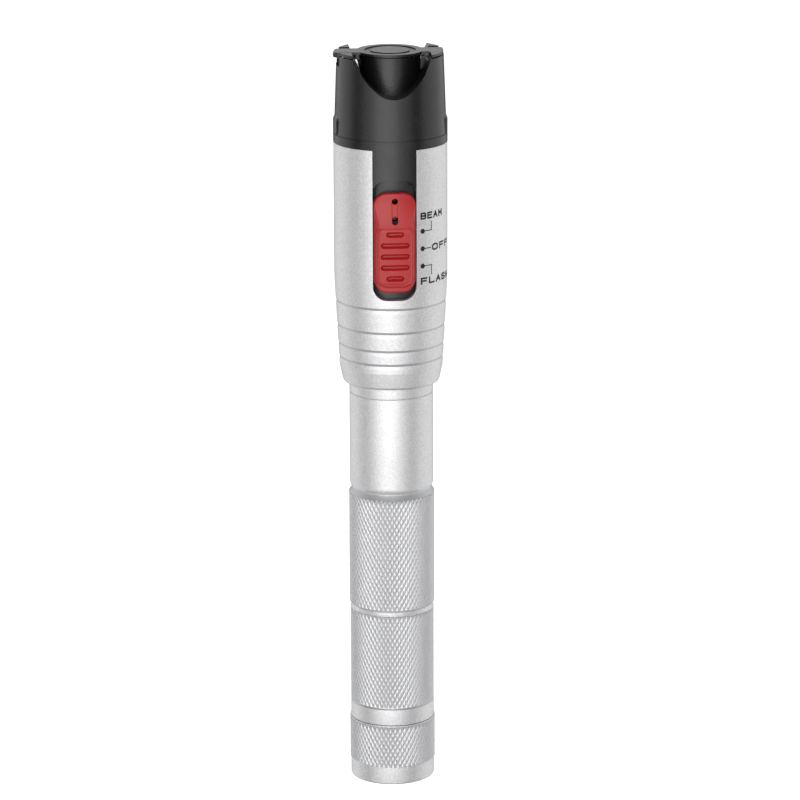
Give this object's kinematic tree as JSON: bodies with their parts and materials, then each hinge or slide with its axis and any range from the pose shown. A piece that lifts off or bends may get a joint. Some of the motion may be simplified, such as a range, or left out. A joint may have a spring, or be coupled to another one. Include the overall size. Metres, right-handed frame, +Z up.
{
  "type": "visual fault locator",
  "caption": "Pen-shaped fibre tester: knurled metal battery tube, flared head with a slide switch, and a guarded ferrule port under a hinged dust lid.",
  "frame": {"origin": "centre of the tail cap's end face", "axes": "+Z up the pen's axis towards the port, the slide button faces -Y, the lid's hinge is on -X"},
  "size_m": [0.0262, 0.0272, 0.1731],
  "materials": {
    "satin_aluminium": "bead-blasted and clear anodised, satin",
    "black_plastic": "moulded, fine matt texture",
    "red_plastic": "moulded, half gloss",
    "steel": "nickel plated",
    "brass": "turned",
    "rubber": "moulded",
    "ceramic": "white ceramic, polished",
    "lens_glass": "polished",
    "board": "lacquered board",
    "cell_jacket": "film jacket on a can",
    "lamp": "moulded, tinted",
    "insulator": "turned"
  },
  "bodies": {
    "root": {"barrel": "satin_aluminium", "battery_front": "cell_jacket", "battery_rear": "cell_jacket", "board_screws": "steel", "ceramic_sleeve": "ceramic", "circuit_board": "board", "collimating_lens": "lens_glass", "contact_insulator": "insulator", "driver_chip": "black_plastic", "front_housing": "black_plastic", "head_sleeve": "satin_aluminium", "hinge_pin": "steel", "laser_diode": "steel", "laser_housing": "brass", "lens_ring": "brass", "neck_adapter": "satin_aluminium", "neck_seal": "rubber", "port_body": "steel", "positive_contact": "brass", "slide_switch": "steel", "status_led_lower": "lamp", "status_led_upper": "lamp", "switch_carrier": "black_plastic", "tail_seal": "rubber"},
    "tail_screw": {"tail_contact": "steel", "tail_spring": "steel"},
    "tail_cap": {"tail_cap": "satin_aluminium"},
    "button": {"slide_button": "red_plastic", "switch_lever": "insulator"},
    "lid": {"dust_lid": "black_plastic", "lid_plug": "rubber"}
  },
  "joints": [
    {"name": "tail_cap_travel", "type": "slide", "parent": "root", "child": "tail_screw", "axis": [0, 0, -1], "range_m": [0, 0.0096]},
    {"name": "tail_cap_turn", "type": "hinge", "parent": "tail_screw", "child": "tail_cap", "pos_m": [0, 0, 0.007], "axis": [0, 0, -1], "range_deg": [0, 2880]},
    {"name": "button_slide", "type": "slide", "parent": "root", "child": "button", "axis": [0, 0, 1], "range_m": [-0.002, 0.002]},
    {"name": "lid_hinge", "type": "hinge", "parent": "root", "child": "lid", "pos_m": [-0.011, 0, 0.172], "axis": [0, -1, 0], "range_deg": [0, 105]}
  ],
  "couplings": [
    {"joint": "tail_cap_travel", "follows": "tail_cap_turn", "m_per_rad": 0.00019099}
  ]
}
